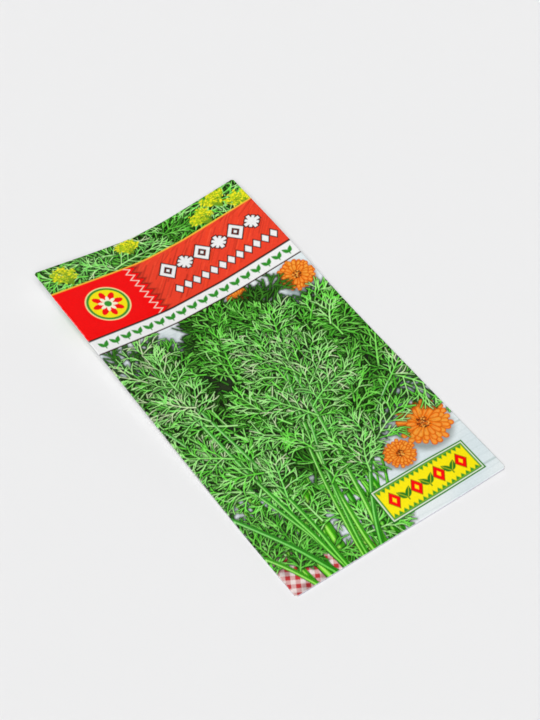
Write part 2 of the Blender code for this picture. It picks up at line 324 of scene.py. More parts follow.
class Print:
    """Ink on one face of the packet, held as linear colours at the points of a grid."""

    def __init__(self, across, down, ground):
        self.across = across
        self.down = down
        self.colours = np.tile(ground, (len(down), len(across), 1))

    def area(self, left, top, right, bottom):
        """The rows and columns inside a box, and the places of their points."""
        columns = slice(*np.searchsorted(self.across, (left, right)))
        rows = slice(*np.searchsorted(self.down, (top, bottom)))
        x, y = np.meshgrid(self.across[columns], self.down[rows])
        return (rows, columns), x, y

    def around(self, middle, half_width, half_height):
        """The same for a box round its middle."""
        x, y = middle
        return self.area(x - half_width, y - half_height, x + half_width, y + half_height)

    def strip(self, top, bottom):
        """The same for a strip right across the face."""
        return self.area(0.0, top, FACE_WIDTH, bottom)

    def lay(self, place, cover, colour):
        """Covers a place with a colour, as thickly as cover says, from 0 to 1."""
        under = self.colours[place]
        under += (colour - under) * np.asarray(cover)[..., None]

    def fill(self, place, distance, colour, strength=1.0):
        """Inks what lies inside an outline, given each point's distance out from it."""
        self.lay(place, np.clip(0.5 - distance / SOFT_EDGE, 0.0, 1.0) * strength, colour)

    def stroke(self, start, end, width, colour, tip=1.0, strength=1.0):
        """One round-ended stroke. Tip is its width at the end, as a share of that at the start."""
        reach = width / 2.0 + SOFT_EDGE
        place, x, y = self.area(
            min(start[0], end[0]) - reach, min(start[1], end[1]) - reach,
            max(start[0], end[0]) + reach, max(start[1], end[1]) + reach,
        )
        if x.size == 0:
            return
        run, drop = end[0] - start[0], end[1] - start[1]
        share = ((x - start[0]) * run + (y - start[1]) * drop) / max(run * run + drop * drop, 1e-9)
        share = np.clip(share, 0.0, 1.0)
        distance = np.hypot(x - start[0] - share * run, y - start[1] - share * drop)
        self.fill(place, distance - width / 2.0 * (1.0 + (tip - 1.0) * share), colour, strength)

    def at(self, x, y):
        """Colours at any places on the face, between those of the grid's points."""
        column = np.interp(x, self.across, np.arange(len(self.across)))
        row = np.interp(y, self.down, np.arange(len(self.down)))
        left = np.minimum(column.astype(int), len(self.across) - 2)
        top = np.minimum(row.astype(int), len(self.down) - 2)
        right_share, low_share = (column - left)[..., None], (row - top)[..., None]
        upper = self.colours[top, left] * (1.0 - right_share) + self.colours[top, left + 1] * right_share
        lower = self.colours[top + 1, left] * (1.0 - right_share)
        lower = lower + self.colours[top + 1, left + 1] * right_share
        return upper * (1.0 - low_share) + lower * low_share


def cloudy(x, y, grain, seed):
    """Soft uneven patches between -1 and 1, about as wide as the grain in millimetres."""
    source = random.Random(seed)
    total = np.zeros_like(x)
    for _ in range(9):
        turn = source.uniform(0.0, math.pi)
        pace = 2.0 * math.pi / (grain * source.uniform(0.7, 1.6))
        step = source.uniform(0.0, 2.0 * math.pi)
        total += np.sin((x * math.cos(turn) + y * math.sin(turn)) * pace + step)
    return total / 4.0


def bent_line(start, angle, length, bend, steps):
    """Points along a line that leaves at an angle from straight up and turns by bend."""
    points = [start]
    for step in range(steps):
        turn = angle + bend * (step + 0.5) / steps
        x, y = points[-1]
        stride = length / steps
        points.append((x + stride * math.sin(turn), y - stride * math.cos(turn)))
    return points


def segments(line):
    """Each point of a line with the next."""
    return zip(line, line[1:])


def shifted(line, across):
    """The same line a little to the right."""
    return [(x + across, y) for x, y in line]


def thread_strokes(source, start, angle, length):
    """Strokes of one hair-like thread, bent and often forked, all to be drawn in one tone."""
    bend = source.uniform(-0.8, 0.8)
    line = bent_line(start, angle, length, bend, 3)
    strokes = [(lower, upper, 1.0) for lower, upper in segments(line)]
    if source.random() < 0.6:
        turn = angle + bend * 0.3 + source.choice((-1, 1)) * source.uniform(0.35, 0.7)
        tine = bent_line(line[1], turn, length * source.uniform(0.4, 0.65), bend * 0.5, 2)
        strokes += [(lower, upper, 0.85) for lower, upper in segments(tine)]
    return strokes


def side_rib(source, start, angle, length):
    """Threads and strokes of one side rib, as a list of lines in one tone each."""
    joints = max(2, int(length / 2.7))
    line = bent_line(start, angle, length, source.uniform(-0.5, 0.5), joints)
    lines = [[(lower, upper, 1.15) for lower, upper in segments(line)]]
    for joint in range(1, joints + 1):
        for side in (-1, 1):
            turn = angle + side * source.uniform(0.2, 0.75)
            lines.append(thread_strokes(source, line[joint], turn, source.uniform(2.0, 5.2)))
    return lines


def frond_lines(source, start, angle, length):
    """Lines of a feathery leaf: a bent rib, side ribs in pairs, and the threads that they carry."""
    bend = source.uniform(-0.6, 0.6)
    joints = max(4, int(length / 3.0))
    rib = bent_line(start, angle, length, bend, joints)
    lines = []
    for joint in range(1, joints + 1):
        along = joint / joints
        turn = angle + bend * along
        reach = length * 0.4 * math.sin(math.pi * (0.22 + 0.66 * along))
        for side in (-1, 1):
            lean = turn + side * (0.95 - 0.4 * along) + source.uniform(-0.2, 0.2)
            lines += side_rib(source, rib[joint], lean, reach * source.uniform(0.6, 1.2))
    lines.append([
        (lower, upper, 1.9 - 0.9 * step / joints) for step, (lower, upper) in enumerate(segments(rib))
    ])
    return lines


def draw_frond(face, source, start, angle, length, tones, thread, depth):
    """A feathery leaf, with the dark that shows round its threads laid down first."""
    lines = frond_lines(source, start, angle, length)
    for wider, strength in THREAD_SHADOWS:
        for line in lines:
            for lower, upper, share in line:
                face.stroke(lower, upper, thread * share + wider, depth, strength=strength)
    for line in lines:
        tone = source.choice(tones)
        for lower, upper, share in line:
            face.stroke(lower, upper, thread * share, tone, tip=THREAD_TIP)


def draw_umbel(face, source, middle, radius, tones):
    """A flat head of tiny blossoms on thin rays, seen from above and a little from the side."""
    foot = (middle[0] + source.uniform(-2.0, 2.0), middle[1] + radius * 1.1)
    for _ in range(UMBEL_RAYS):
        turn = source.uniform(0.0, 2.0 * math.pi)
        share = math.sqrt(source.uniform(0.02, 1.0))
        x = middle[0] + radius * share * math.cos(turn)
        y = middle[1] + radius * 0.66 * share * math.sin(turn)
        face.stroke(foot, (x, y), 0.25, tones[0], strength=0.8)
        face.stroke((x, y), (x + 0.1, y + 0.3), 1.5, tones[0], strength=0.6)
        for _ in range(UMBEL_SPOTS):
            spot_x, spot_y = source.gauss(x, 0.6), source.gauss(y, 0.5)
            end = (spot_x + source.uniform(-0.5, 0.5), spot_y + source.uniform(-0.4, 0.4))
            face.stroke((spot_x, spot_y), end, source.uniform(0.25, 0.55), source.choice(tones[1:]))


def draw_stem(face, line, width, tones, far_tones, taper):
    """A round stem: dark edges, its own green, a shaded side and a thin gleam."""
    for (across, share), near, far in zip(STEM_LAYERS, tones, far_tones):
        path = shifted(line, across * width)
        for step, (lower, upper) in enumerate(segments(path)):
            along = step / len(path)
            face.stroke(lower, upper, width * share * (1.0 - taper * along), blend((near, far), along))


def draw_blossom(face, source, middle, radius, tones):
    """A many-petalled blossom: rings of long petals round a dark eye, with a soft shadow."""
    place, x, y = face.around(middle, radius * 1.5, radius * 1.5)
    reach = np.hypot(x - middle[0] + radius * 0.1, y - middle[1] - radius * 0.14) / radius
    face.lay(place, 0.6 * ease((1.2 - reach) / 0.35), ink("#3c4a3c"))
    for reach, count, twist in BLOSSOM_RINGS:
        for petal in range(count):
            turn = 2.0 * math.pi * (petal + twist) / count + source.uniform(-0.09, 0.09)
            length = radius * reach * source.uniform(0.88, 1.04)
            way = (math.cos(turn), math.sin(turn))
            root, tip = [
                (middle[0] + share * length * way[0], middle[1] + share * length * way[1])
                for share in (0.2, 0.92)
            ]
            width = radius * 0.145
            face.stroke(root, tip, width + 0.4, tones[0], tip=1.2)
            face.stroke(root, tip, width, source.choice(tones[1:3]), tip=1.3)
            face.stroke(blend_place(root, tip, 0.55), tip, width * 0.6, tones[3], tip=1.3, strength=0.45)
            face.stroke(root, blend_place(root, tip, 0.75), 0.2, tones[0], strength=0.55)
    for _ in range(int(12 * radius)):
        turn, share = source.uniform(0.0, 2.0 * math.pi), math.sqrt(source.random())
        x = middle[0] + radius * 0.24 * share * math.cos(turn)
        y = middle[1] + radius * 0.24 * share * math.sin(turn)
        face.stroke((x, y), (x + 0.1, y), 0.4, source.choice((tones[4], tones[4], tones[0], tones[3])))


def blend_place(start, end, share):
    """The place at a share of the way from one to the other."""
    return (blend((start[0], end[0]), share), blend((start[1], end[1]), share))


def diamond(x, y, middle, half_width, half_height):
    """Distance out from a diamond's outline."""
    slope = half_width * half_height / math.hypot(half_width, half_height)
    return (np.abs(x - middle[0]) / half_width + np.abs(y - middle[1]) / half_height - 1.0) * slope


def box(x, y, middle, half_width, half_height):
    """Distance out from a rectangle's outline."""
    return np.maximum(np.abs(x - middle[0]) - half_width, np.abs(y - middle[1]) - half_height)


def teeth(along, pitch):
    """A row of teeth: 0 between one tooth and the next, and 1 at a tooth's tip."""
    return 1.0 - 2.0 * np.abs(along / pitch % 1.0 - 0.5)


def star_cross(x, y, middle, size):
    """Distance out from an eight-armed star: a cross laid over a slanting cross."""
    upright = np.minimum(box(x, y, middle, size, size * 0.22), box(x, y, middle, size * 0.22, size))
    turned_x = (x - middle[0] + y - middle[1]) * math.sqrt(0.5)
    turned_y = (y - middle[1] - x + middle[0]) * math.sqrt(0.5)
    slanting = np.minimum(
        box(turned_x, turned_y, (0.0, 0.0), size * 0.86, size * 0.18),
        box(turned_x, turned_y, (0.0, 0.0), size * 0.18, size * 0.86),
    )
    return np.minimum(upright, slanting)


def print_depth(face, greens):
    """Dark leafy depth of the picture, with the pale ground left open towards its corners."""
    place, x, y = face.strip(PICTURE_TOP, FACE_LENGTH)
    face.lay(place, 1.0, ink("#e9f0f0"))
    face.lay(place, 0.4 * ease(0.5 + 0.5 * cloudy(x, y, 26.0, 3)), ink("#c3d8df"))
    for board in range(6):
        lower = PICTURE_TOP + BOARD * (board + 0.6)
        seam = np.exp(-((y - lower - GRAIN_SLOPE * x) / 0.35) ** 2)
        face.lay(place, 0.5 * seam, ink("#8fa8a4"))
    for grain in range(40):
        level = PICTURE_TOP + GRAIN * grain
        line = np.exp(-((y - level - GRAIN_SLOPE * x - 0.5 * np.sin(x * 0.11 + grain)) / 0.2) ** 2)
        face.lay(place, 0.16 * line, ink("#9fb4b4"))
    reach = bunch_reach(x, y) + 0.05 * cloudy(x, y, 8.0, 5) + 0.03 * cloudy(x, y, 2.6, 7)
    face.lay(place, 0.45 * (1.0 - ease((reach - 0.90) / 0.16)), ink("#7d979a"))
    face.lay(place, 0.97 * (1.0 - ease((reach - 0.80) / 0.12)), greens["depth"])
    patches = 0.5 + 0.5 * cloudy(x, y, 9.0, 6)
    face.lay(place, 0.6 * ease(patches) * (1.0 - ease((reach - 0.70) / 0.16)), ink("#2c3a1a"))


def bunch_reach(x, y):
    """0 at the middle of the bunch and 1 at its outline, which runs off both sides."""
    return np.hypot((x - BUNCH_MIDDLE[0]) / BUNCH_HALF[0], (y - BUNCH_MIDDLE[1]) / BUNCH_HALF[1])


def print_cloth(face):
    """Corner of a checked cloth: red and white stripes woven across each other."""
    place, x, y = face.area(*CLOTH_BOX)
    along = x * CLOTH_LEAN[0] + y * CLOTH_LEAN[1]
    across = y * CLOTH_LEAN[0] - x * CLOTH_LEAN[1]
    edge = across - CLOTH_EDGE - 0.8 * np.sin(along * 0.3)
    warp, weft = [
        np.clip(np.sin(way * math.pi / CLOTH_CHECK) * 4.0 + 0.5, 0.0, 1.0) for way in (along, across)
    ]
    depth = (warp + weft) / 2.0
    cloth = ink("#f3e4e0") + (ink("#c00a14") - ink("#f3e4e0")) * (0.95 * depth)[..., None]
    cloth = cloth * (1.0 - 0.4 * np.clip(cloudy(x, y, 7.0, 12), 0.0, 1.0))[..., None]
    face.lay(place, 0.45 * np.clip((edge + 1.2) / 1.2, 0.0, 1.0), ink("#51605c"))
    face.lay(place, np.clip(edge / 0.3, 0.0, 1.0), cloth)


def print_stems(face, source, greens):
    """Thick stems that run together towards the bottom end and cross one another."""
    order = list(range(STEMS))
    source.shuffle(order)
    for stem in order:
        share = stem / (STEMS - 1.0) - 0.5
        foot = (24.0 + 30.0 * share + source.uniform(-3.0, 3.0), 152.0)
        top = (BUNCH_MIDDLE[0] - 8.0 + 46.0 * share, 98.0)
        angle = math.atan2(top[0] - foot[0], foot[1] - top[1])
        line = bent_line(foot, angle, source.uniform(50.0, 62.0), source.uniform(-0.2, 0.2), 24)
        tones = (greens["edge"], *source.choice(greens["stem"]))
        draw_stem(face, line, source.uniform(1.4, 3.2), tones, tones, taper=0.45)
        joint = source.choice(line[5:12])
        for side in (-1, 1):
            lean = angle + side * source.uniform(0.3, 0.55)
            twig = bent_line(joint, lean, source.uniform(22.0, 32.0), -0.3 * side, 12)
            draw_stem(face, twig, source.uniform(0.6, 1.0), tones, tones, taper=0.4)
    for _ in range(LOW_FRONDS):
        start = (source.uniform(-2.0, 42.0), source.uniform(110.0, 146.0))
        lean = source.gauss(0.0, 1.0)
        tone = greens[source.choice(("middle", "bright", "bright"))]
        draw_frond(face, source, start, lean, source.uniform(8.0, 15.0), tone, LOW_THREAD, greens["depth"])


def print_fronds(face, source, greens, count):
    """The bunch: fronds that fan out from the stems, dark ones first and pale ones last."""
    rim, depth = int(count * RIM_PART), greens["depth"]
    for number in range(rim):
        turn, share = 2.0 * math.pi * number / rim, source.uniform(0.66, 0.84)
        bunch_frond(face, source, greens["shade"], depth, turn, share, RIM_THREAD)
    for tone, part, thread, bare_below in FROND_LAYERS:
        for _ in range(int(count * part)):
            turn = source.uniform(0.0, 2.0 * math.pi)
            share = math.sqrt(source.random()) * 0.84
            bunch_frond(face, source, greens[tone], depth, turn, share, thread, bare_below)
    print_leaders(face, source, greens, int(count * LEADER_PART))


def bunch_frond(face, source, tones, depth, turn, share, thread, bare_below=-9.0):
    """One frond of the bunch, left out where the bunch is patchy and shows its depth."""
    x = BUNCH_MIDDLE[0] + BUNCH_HALF[0] * share * math.cos(turn)
    y = BUNCH_MIDDLE[1] + 5.0 + BUNCH_HALF[1] * share * math.sin(turn)
    lean = math.atan2(x - 34.0, 160.0 - y) * 1.2 + source.gauss(0.0, 0.6)
    length = source.uniform(10.0, 21.0)
    if cloudy(np.array([x]), np.array([y]), 13.0, 21)[0] > bare_below:
        draw_frond(face, source, (x, y), lean, length, tones, thread, depth)


def print_leaders(face, source, greens, count):
    """Long pale stems through the bunch, with pale leaves that open in pairs from their joints."""
    for leader in range(LEADERS):
        share = leader / (LEADERS - 1.0) - 0.5
        foot = (22.0 + 20.0 * share + source.uniform(-4.0, 4.0), 153.0)
        angle = 0.75 * share + source.uniform(-0.1, 0.1)
        length = 102.0 - 90.0 * share * share + source.uniform(-26.0, 0.0)
        bend = 0.7 * share + source.uniform(-0.35, 0.35)
        line = bent_line(foot, angle, length, bend, LEADER_STEPS)
        near_tones = (greens["edge"], *source.choice(greens["stem"]))
        far_tones = (greens["edge"], *greens["leader"])
        draw_stem(face, line, source.uniform(1.1, 1.7), near_tones, far_tones, taper=0.65)
        for number in range(max(2, count // LEADERS)):
            step = LEADER_STEPS if number == 0 else source.randrange(14, 35)
            way = angle + bend * step / LEADER_STEPS
            if number > 0:
                way += source.choice((-1, 1)) * source.uniform(0.3, 1.1)
            tone = source.choice((greens["light"], greens["light"], greens["bright"]))
            reach = source.uniform(9.0, 18.0)
            draw_frond(face, source, line[step], way, reach, tone, LEADER_THREAD, greens["depth"])


def print_top(face, source, greens, yellows):
    """Fronds and yellow seed heads along the top end."""
    place, x, y = face.strip(-1.0, BAND_TOP + 1.0)
    face.lay(place, 1.0, greens["depth"])
    face.lay(place, 0.6 * ease(0.5 + 0.6 * cloudy(x, y, 6.0, 9)), ink("#3a3a28"))
    for tone, count, thread in TOP_LAYERS:
        for _ in range(count):
            start = (source.uniform(-4.0, 82.0), source.uniform(0.0, 15.0))
            lean = source.choice((-1, 1)) * source.uniform(0.9, 1.6)
            length = source.uniform(10.0, 20.0)
            draw_frond(face, source, start, lean, length, greens[tone], thread, greens["depth"])
    for middle, radius in SEED_HEADS:
        draw_umbel(face, source, middle, radius, yellows)


def print_band(face, source, inks):
    """The header: a toothed red field on brushed orange, over a white stripe."""
    place, x, y = face.strip(BAND_TOP, STRIPE_TOP)
    inside = np.clip((BAND_FOOT - y) / SOFT_EDGE, 0.0, 1.0)
    tones = ink_set("#c4331f #d63a24 #ff5a3a #a82a1c #ff4c22")
    face.lay(place, 1.0, ink("#3a1a10"))
    face.lay(place, inside, inks["orange"])
    for _ in range(BRUSH_STROKES):
        start = (source.uniform(10.0, 84.0), source.uniform(BAND_TOP, BAND_FOOT))
        reach = source.uniform(3.0, 15.0)
        end = (start[0] + reach * 0.72, max(start[1] - reach * 0.69, BAND_TOP))
        tone = source.choice(tones)
        face.stroke(start, end, source.uniform(0.2, 0.7), tone, strength=source.uniform(0.2, 0.55))
    tooth = teeth(y - BAND_TOP, (BAND_FOOT - BAND_TOP) / RED_TEETH)
    past = (x - RED_EDGE - RED_TOOTH * tooth) * TOOTH_SLANT
    face.lay(place, 0.75 * np.exp(-(np.maximum(past, 0.0) / 0.6) ** 2), ink("#4c1710"))
    face.lay(place, inside * np.clip(0.5 - past / SOFT_EDGE, 0.0, 1.0), inks["red"])
    face.lay(place, inside * np.clip(1.1 - np.abs(past + 1.0) / SOFT_EDGE, 0.0, 1.0), ink("#fbe9d8"))
    place, x, y = face.strip(BAND_TOP - 1.0, BAND_TOP + 2.0)
    face.fill(place, np.abs(y - BAND_TOP) - 0.28, ink("#f9bf3c"))
    place, x, y = face.strip(BAND_FOOT - 1.0, PICTURE_TOP + 1.0)
    for top, foot, colour in (
        (BAND_FOOT, PICTURE_TOP, ink("#33170e")), (STRIPE_TOP, STRIPE_FOOT, inks["paper"]),
    ):
        face.fill(place, np.abs(y - (top + foot) / 2.0) - (foot - top) / 2.0, colour)


def row_middles(first_x, y, pitch, count):
    """Middles of the figures in a straight row."""
    return [(first_x + pitch * number, y) for number in range(count)]


def outlined(face, place, shape, width, outline, colour):
    """Inks a shape and the dark line round it."""
    face.fill(place, shape - width, outline)
    face.fill(place, shape, colour)


def print_ornament(face, inks):
    """Rows of traditional diamonds and eight-armed stars, left white with a dark outline."""
    outline, white = ink("#2b100c"), inks["paper"]
    for number, middle in enumerate(row_middles(*FIGURE_ROW)):
        place, x, y = face.around(middle, 5.0, 5.0)
        if number % 2:
            shape = star_cross(x, y, middle, 2.9)
        else:
            ring = diamond(x, y, middle, 3.3, 3.9)
            shape = np.maximum(ring, -diamond(x, y, middle, 1.75, 2.1))
            shape = np.minimum(shape, diamond(x, y, middle, 0.7, 0.85))
        outlined(face, place, shape, 0.42, outline, white)
    for middle in row_middles(*DIAMOND_ROW):
        place, x, y = face.around(middle, 3.0, 3.0)
        outlined(face, place, diamond(x, y, middle, 1.35, 1.9), 0.4, outline, white)


def print_rosette(face, inks):
    """A round folk rosette on the red field: two rings of petals inside a green ring."""
    across, down, radius = *ROSETTE_MIDDLE, ROSETTE_RADIUS
    place, x, y = face.around(ROSETTE_MIDDLE, radius + 1.0, radius + 1.0)
    reach = np.hypot(x - across, y - down) / radius
    turn = np.arctan2(y - down, x - across)
    outer = 0.72 * (0.45 + 0.55 * np.abs(np.cos(turn * 4.0)))
    inner = 0.43 * (0.45 + 0.55 * np.abs(np.sin(turn * 4.0)))
    for edge, colour in (
        (1.0, ink("#f6e7a0")), (0.94, inks["green"]), (0.83, inks["yellow"]),
        (outer, inks["red"]), (inner, ink("#fdf6d8")), (0.165, inks["green"]),
    ):
        face.fill(place, (reach - edge) * radius, colour)


def leaf(x, y, root, tip, width):
    """Distance out from the outline of a plump leaf that runs from its root to its tip."""
    run, drop = tip[0] - root[0], tip[1] - root[1]
    length = math.hypot(run, drop)
    along = np.clip(((x - root[0]) * run + (y - root[1]) * drop) / length ** 2, 0.0, 1.0)
    away = np.hypot(x - root[0] - along * run, y - root[1] - along * drop)
    return away - width / 2.0 * np.sin(math.pi * along ** 0.8)


def print_leaf_row(face, middle_y, first_x, spacing, count, size, tones):
    """Pairs of small leaves along a straight line."""
    for number in range(count):
        root = (first_x + spacing * number, middle_y + size * 0.36)
        place, x, y = face.area(root[0] - size, root[1] - 2.0 * size, root[0] + size, root[1] + size)
        for side in (-1, 1):
            tip = (root[0] + side * size * 0.6, middle_y - size * 0.46)
            face.fill(place, leaf(x, y, root, tip, size * 0.5), tones[0])
            face.stroke(root, blend_place(root, tip, 0.85), 0.2, tones[1], strength=0.7)
        face.stroke(root, (root[0], middle_y + size * 0.55), 0.4, tones[0])


def print_strip(face, top, foot, inks):
    """A strip of red diamonds on yellow between green edges."""
    place, x, y = face.strip(top, foot + 0.5)
    middle, half = (top + foot) / 2.0, (foot - top) / 2.0
    face.lay(place, 1.0, inks["green"])
    face.fill(place, np.abs(y - middle) - half + 0.85, ink("#e9f5c8"))
    face.fill(place, np.abs(y - middle) - half + 1.2, inks["yellow"])
    half_pitch = STRIP_PITCH / 2.0
    local = (x + half_pitch) % STRIP_PITCH - half_pitch
    face.fill(place, diamond(local, y, (0.0, middle), 1.75, half - 1.35), inks["red"])
    face.fill(place, diamond(local, y, (0.0, middle), 0.62, 0.7), ink("#fbe97a"))
    between = x % STRIP_PITCH - half_pitch
    face.fill(place, diamond(between, y, (0.0, middle), 0.5, 0.6), inks["green"])


def print_plate(face, inks):
    """A small framed panel: red diamonds and green leaves in turn, between rows of green teeth."""
    across, down = PLATE_MIDDLE
    place, x, y = face.around(PLATE_MIDDLE, PLATE_HALF[0] + 1.0, PLATE_HALF[1] + 1.0)
    panel = box(x, y, PLATE_MIDDLE, *PLATE_HALF)
    for inset, colour in (
        (0.0, ink("#2c7f1c")), (0.5, ink("#f4f7e6")), (0.85, inks["green"]), (PLATE_FRAME, inks["yellow"]),
    ):
        face.fill(place, panel + inset, colour)
    half_width, half_height = PLATE_HALF[0] - PLATE_FRAME, PLATE_HALF[1] - PLATE_FRAME
    tooth = teeth(x - across + half_width, half_width / 9.0)
    row = (half_height - 1.4 * tooth - np.abs(y - down)) * TOOTH_SLANT
    face.fill(place, np.maximum(row, panel + PLATE_FRAME), inks["green"])
    for number in (-3, -1, 1, 3):
        middle = (across + PLATE_PITCH * number, down)
        outlined(face, place, diamond(x, y, middle, 2.0, 2.9), 0.2, ink("#5a1408"), inks["red"])
        face.fill(place, diamond(x, y, middle, 0.7, 1.1), inks["yellow"])
    print_leaf_row(face, down, across - 2.0 * PLATE_PITCH, 2.0 * PLATE_PITCH, 3, 4.0,
                   (ink("#1f7a1c"), inks["yellow"]))


def front_print(across, down, frond_count, inks):
    """All the ink on the front."""
    source = random.Random(PRINT_RANDOM)
    greens = {
        "depth": ink("#0d1804"),
        "edge": ink("#1f4a0c"),
        "shade": ink_set("#3a7c20 #2d6a16 #468c2a"),
        "middle": ink_set("#5cc638 #76d84e #4eb22e #8ceb66"),
        "bright": ink_set("#82f25a #9efc7a #6ee246 #bafe9a"),
        "light": ink_set("#9cf67a #82f060 #b8fe98 #dcfabc #aafa8c #8cf470"),
        "stem": [
            ink_set("#48c018 #288c08 #94ec58"), ink_set("#62cc1c #38980c #aaf264"),
            ink_set("#3aae18 #207c08 #78e050"),
        ],
        "leader": ink_set("#74cc62 #3f9434 #c8f4ba"),
    }
    yellows = ink_set("#6f9a1e #f4ea1a #fff22a #cfe022 #9cc41c")
    oranges = ink_set("#c9560c #f58a1e #f87c14 #ffbe55 #5f2406")
    face = Print(across, down, inks["paper"])
    print_depth(face, greens)
    print_cloth(face)
    print_stems(face, source, greens)
    for middle, radius in BLOSSOMS:
        draw_blossom(face, source, middle, radius, oranges)
    print_fronds(face, source, greens, frond_count)
    print_top(face, source, greens, yellows)
    print_band(face, source, inks)
    print_ornament(face, inks)
    print_rosette(face, inks)
    print_leaf_row(face, (STRIPE_TOP + STRIPE_FOOT) / 2.0, 3.4, 4.3, 18, 3.0,
                   (inks["green"], ink("#1f5f1c")))
    print_plate(face, inks)
    return face


def back_print(across, down, inks):
    """All the ink on the back, in millimetres from the same corner as the front's."""
    face = Print(across, down, inks["paper"])
    for top, foot, name in BACK_BANDS:
        place, x, y = face.strip(top, foot)
        face.lay(place, 1.0, inks[name])
    print_leaf_row(face, 19.0, 4.6, 5.9, 13, 4.2, (ink("#d9ecb4"), inks["green"]))
    place, x, y = face.around(BACK_PANEL, 42.0, 38.0)
    outlined(face, place, box(x, y, BACK_PANEL, *BACK_PANEL_HALF), 0.5, inks["green"], inks["paper"])
    first, pitch, count = BACK_RULES
    for rule in range(count):
        line = (BACK_PANEL[0], first + pitch * rule)
        place, x, y = face.around(line, 29.0, 1.0)
        face.fill(place, np.abs(y - line[1]) - 0.15, ink("#b9cdb2"))
    names = ("green", "yellow", "orange", "red")
    for middle, name in zip(row_middles(*BACK_ROUNDELS, len(names)), names):
        place, x, y = face.around(middle, 6.0, 6.0)
        reach = np.hypot(x - middle[0], y - middle[1])
        face.fill(place, reach - ROUNDEL_REACH[0], inks[name])
        face.fill(place, reach - ROUNDEL_REACH[1], inks["paper"])
        face.fill(place, diamond(x, y, middle, 1.6, 2.4), inks[name])
    print_strip(face, *BACK_STRIP, inks)
    return face


# Sheet of paper

def grid_marks(half, cell):
    """Places of the grid lines from edge to edge, one of them at each corner notch."""
    notch = np.linspace(-half, -half + CORNER_CUT, max(1, round(CORNER_CUT / cell)) + 1)
    span = half - CORNER_CUT
    middle = np.linspace(-span, span, round(2.0 * span / cell) + 1)
    return np.concatenate([notch[:-1], middle, -notch[-2::-1]])


def even_marks(start, end, cell):
    """Places from start to end, about one cell apart."""
    return np.linspace(start, end, max(1, round(abs(end - start) / cell)) + 1)


class Sheet:
    """Points and faces of the folded paper, with each point's place on the sheet laid flat."""

    def __init__(self):
        self.points = []
        self.flat = []
        self.count = 0
        self.faces = []
        self.kinds = []

    def add(self, x, y, z, flat_x, flat_y):
        """Adds a block of points, lifted by the packet's curl, and returns their numbers."""
        x, y, z, flat_x, flat_y = np.broadcast_arrays(x, y, z, flat_x, flat_y)
        self.points.append(np.stack([x, y, z + table_height(x, y)], axis=-1).reshape(-1, 3))
        self.flat.append(np.stack([flat_x, flat_y], axis=-1).reshape(-1, 2))
        numbers = np.arange(self.count, self.count + x.size).reshape(x.shape)
        self.count += x.size
        return numbers

    def weave(self, lines, kind):
        """Quads between each line of points and the next."""
        corners = (lines[:-1, :-1], lines[:-1, 1:], lines[1:, 1:], lines[1:, :-1])
        quads = np.stack([corner.ravel() for corner in corners], axis=-1)
        self.faces += quads.tolist()
        self.kinds += [kind] * len(quads)

    def stitch(self, line, other, kind):
        """Faces between two lines that run side by side, however many points each has."""
        points = np.concatenate(self.points)
        shares = []
        for chain in (line, other):
            steps = np.linalg.norm(np.diff(points[chain], axis=0), axis=1)
            shares.append(np.concatenate([[0.0], np.cumsum(steps)]) / max(steps.sum(), 1e-12))
        here, there = 0, 0
        while here < len(line) - 1 or there < len(other) - 1:
            next_here = shares[0][here + 1] if here < len(line) - 1 else 2.0
            next_there = shares[1][there + 1] if there < len(other) - 1 else 2.0
            face = [line[here], other[there]]
            if next_there < next_here + 1e-4:
                there += 1
                face.append(other[there])
            if next_here < next_there + 1e-4:
                here += 1
                face.append(line[here])
            self.faces.append([int(number) for number in face])
            self.kinds.append(kind)


def fold_steps(front, back, shift):
    """Height, reach past the panels, and length of paper, at each step round a fold."""
    steps = []
    for step in range(1, FOLD_SIDES):
        angle = math.pi * step / FOLD_SIDES
        height = (front + back) / 2.0 + ((front - back) / 2.0 + shift) * math.cos(angle)
        steps.append((height, (FOLD_REACH + shift) * math.sin(angle), FOLD_ARC * step / FOLD_SIDES))
    return steps


def add_side(sheet, side, skin, rows, back_columns, back_height):
    """Lines of points round a long fold and along its back panel. Side is -1 or 1."""
    shift = skin * PAPER / 2.0
    front = front_height(side * SIDE_LINE, rows)
    back = back_height(side * SIDE_LINE, rows)
    lines = []
    for height, out, flat_out in fold_steps(front, back, shift):
        x, flat_x = side * (SIDE_LINE + out), side * (SIDE_LINE + flat_out)
        lines.append(sheet.add(x, rows, height, flat_x, rows))
    for x in back_columns:
        flat_x = side * (SIDE_LINE + FOLD_ARC + abs(x - side * SIDE_LINE))
        lines.append(sheet.add(x, rows, back_height(x, rows) - shift, flat_x, rows))
    return np.array(lines)


def add_end(sheet, end, skin, columns, cell):
    """Lines of points round an end fold and along its flap. End is -1 or 1."""
    shift = skin * PAPER / 2.0
    front = front_height(columns, end * END_LINE)
    back = layer_height(0)
    lines = []
    for height, out, flat_out in fold_steps(front, back, shift):
        y, flat_y = end * (END_LINE + out), end * (END_LINE + flat_out)
        lines.append(sheet.add(columns, y, height, columns, flat_y))
    for y in even_marks(END_LINE, FLAP_EDGE, cell):
        share = (END_LINE - y) / (END_LINE - FLAP_EDGE)
        x = columns * blend((1.0, FLAP_END_HALF / columns[-1]), share)
        flat_y = end * (END_LINE + FOLD_ARC + END_LINE - y)
        lines.append(sheet.add(x, end * y, back - shift, x, flat_y))
    return np.array(lines)


